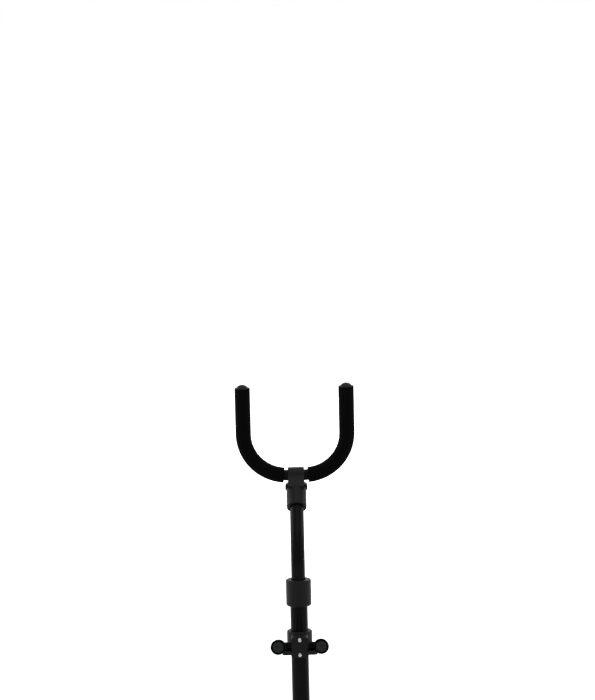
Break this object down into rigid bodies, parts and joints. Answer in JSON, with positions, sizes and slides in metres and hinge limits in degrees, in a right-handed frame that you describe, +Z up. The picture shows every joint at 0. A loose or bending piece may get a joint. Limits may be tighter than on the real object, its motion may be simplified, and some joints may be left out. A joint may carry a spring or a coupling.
{
  "type": "saxophone stand",
  "caption": "Folding floor stand for an alto saxophone: padded U-shaped yoke for the bell, padded fork for the bow, sliding post and a braced folding tripod.",
  "frame": {"origin": "bottom centre of the bounding box, on the floor between the three feet", "axes": "+Z up along the post, the player and the lower fork at -Y, the yoke and the single rear leg at +Y, +X to the right seen from the player's side"},
  "size_m": [0.4336, 0.378, 0.5516],
  "materials": {
    "tube_coat": "semi-gloss black powder coat on steel tube and strip",
    "hub_casting": "black glass-filled nylon, satin",
    "clamp_plastic": "black moulded plastic, fine spark texture",
    "knob_plastic": "black moulded plastic, satin",
    "plated_steel": "zinc-plated steel",
    "foam": "black closed-cell foam sleeve, matte",
    "plug_plastic": "dark domed plastic plug, glossy",
    "foot_rubber": "black moulded rubber, matte"
  },
  "bodies": {
    "post": {"lower_post": "tube_coat", "post_end_cap": "clamp_plastic", "post_bushing": "clamp_plastic", "lower_hub": "hub_casting", "hub_screw": "plated_steel", "hub_pins": "plated_steel", "height_clamp": "clamp_plastic", "height_nut": "plated_steel"},
    "height_knob": {"height_knob": "knob_plastic", "height_knob_bolt": "plated_steel"},
    "upper_tube": {"upper_tube": "tube_coat", "upper_tube_glide": "clamp_plastic", "yoke_clamp": "clamp_plastic", "yoke_clamp_nut": "plated_steel", "yoke_clamp_jaw": "clamp_plastic"},
    "yoke_knob": {"yoke_knob": "knob_plastic", "yoke_knob_bolt": "plated_steel"},
    "yoke": {"yoke_tube": "tube_coat", "yoke_sleeve_left": "foam", "yoke_sleeve_right": "foam", "yoke_plugs": "plug_plastic"},
    "leg_collar": {"leg_collar": "hub_casting", "collar_nut": "plated_steel", "collar_pins": "plated_steel"},
    "collar_knob": {"collar_knob": "knob_plastic", "collar_knob_bolt": "plated_steel"},
    "rest_bracket": {"rest_bracket": "clamp_plastic", "rest_nut": "plated_steel", "rest_cap": "clamp_plastic", "rest_cap_screws": "plated_steel"},
    "rest_knob": {"rest_knob": "knob_plastic", "rest_knob_bolt": "plated_steel"},
    "rest_fork": {"rest_fork": "tube_coat", "rest_sleeve_left": "foam", "rest_sleeve_right": "foam", "rest_plugs": "plug_plastic"},
    "leg_1": {"leg_1": "tube_coat", "foot_1": "foot_rubber"},
    "brace_1": {"brace_1": "tube_coat", "brace_rivets_1": "plated_steel"},
    "leg_2": {"leg_2": "tube_coat", "foot_2": "foot_rubber"},
    "brace_2": {"brace_2": "tube_coat", "brace_rivets_2": "plated_steel"},
    "leg_3": {"leg_3": "tube_coat", "foot_3": "foot_rubber"},
    "brace_3": {"brace_3": "tube_coat", "brace_rivets_3": "plated_steel"}
  },
  "joints": [
    {"name": "height", "type": "slide", "parent": "post", "child": "upper_tube", "axis": [0, 0, 1], "range_m": [0, 0.08]},
    {"name": "height_knob_turn", "type": "hinge", "parent": "post", "child": "height_knob", "pos_m": [0, -0.04, 0.32], "axis": [0, 1, 0], "range_deg": [0, 360]},
    {"name": "yoke_tilt", "type": "hinge", "parent": "upper_tube", "child": "yoke", "pos_m": [0, 0.01488, 0.44273], "axis": [1, 0, 0], "range_deg": [-30, 100]},
    {"name": "yoke_knob_turn", "type": "hinge", "parent": "upper_tube", "child": "yoke_knob", "pos_m": [0, 0.02338, 0.42573], "axis": [0, 1, 0], "range_deg": [0, 360]},
    {"name": "rest_height", "type": "slide", "parent": "post", "child": "rest_bracket", "axis": [0, 0, 1], "range_m": [-0.01, 0.025]},
    {"name": "rest_knob_turn", "type": "hinge", "parent": "rest_bracket", "child": "rest_knob", "pos_m": [0, -0.04, 0.262], "axis": [0, 1, 0], "range_deg": [0, 360]},
    {"name": "rest_fold", "type": "hinge", "parent": "rest_bracket", "child": "rest_fork", "pos_m": [0, -0.082, 0.262], "axis": [-1, 0, 0], "range_deg": [0, 80]},
    {"name": "base_fold", "type": "slide", "parent": "post", "child": "leg_collar", "axis": [0, 0, 1], "range_m": [0, 0.06739]},
    {"name": "collar_knob_turn", "type": "hinge", "parent": "leg_collar", "child": "collar_knob", "pos_m": [0, -0.08, 0.15], "axis": [0, -1, 0], "range_deg": [0, 360]},
    {"name": "leg_1_fold", "type": "hinge", "parent": "leg_collar", "child": "leg_1", "pos_m": [0, -0.036, 0.15], "axis": [-1, 0, 0], "range_deg": [0, 52.5]},
    {"name": "leg_2_fold", "type": "hinge", "parent": "leg_collar", "child": "leg_2", "pos_m": [-0.02079, -0.072, 0.15], "axis": [0.5, -0.866, 0], "range_deg": [0, 52.5]},
    {"name": "leg_3_fold", "type": "hinge", "parent": "leg_collar", "child": "leg_3", "pos_m": [0.02079, -0.072, 0.15], "axis": [0.5, 0.866, 0], "range_deg": [0, 52.5]},
    {"name": "brace_1_fold", "type": "hinge", "parent": "post", "child": "brace_1", "pos_m": [0, -0.041, 0.06], "axis": [1, 0, 0], "range_deg": [0, 47.2]},
    {"name": "brace_2_fold", "type": "hinge", "parent": "post", "child": "brace_2", "pos_m": [-0.01645, -0.0695, 0.06], "axis": [-0.5, 0.866, 0], "range_deg": [0, 47.2]},
    {"name": "brace_3_fold", "type": "hinge", "parent": "post", "child": "brace_3", "pos_m": [0.01645, -0.0695, 0.06], "axis": [-0.5, -0.866, 0], "range_deg": [0, 47.2]}
  ],
  "couplings": [
    {"joint": "leg_1_fold", "follows": "base_fold", "rad_per_m": 13.595},
    {"joint": "leg_2_fold", "follows": "base_fold", "rad_per_m": 13.595},
    {"joint": "leg_3_fold", "follows": "base_fold", "rad_per_m": 13.595},
    {"joint": "brace_1_fold", "follows": "base_fold", "rad_per_m": 12.224},
    {"joint": "brace_2_fold", "follows": "base_fold", "rad_per_m": 12.224},
    {"joint": "brace_3_fold", "follows": "base_fold", "rad_per_m": 12.224}
  ]
}
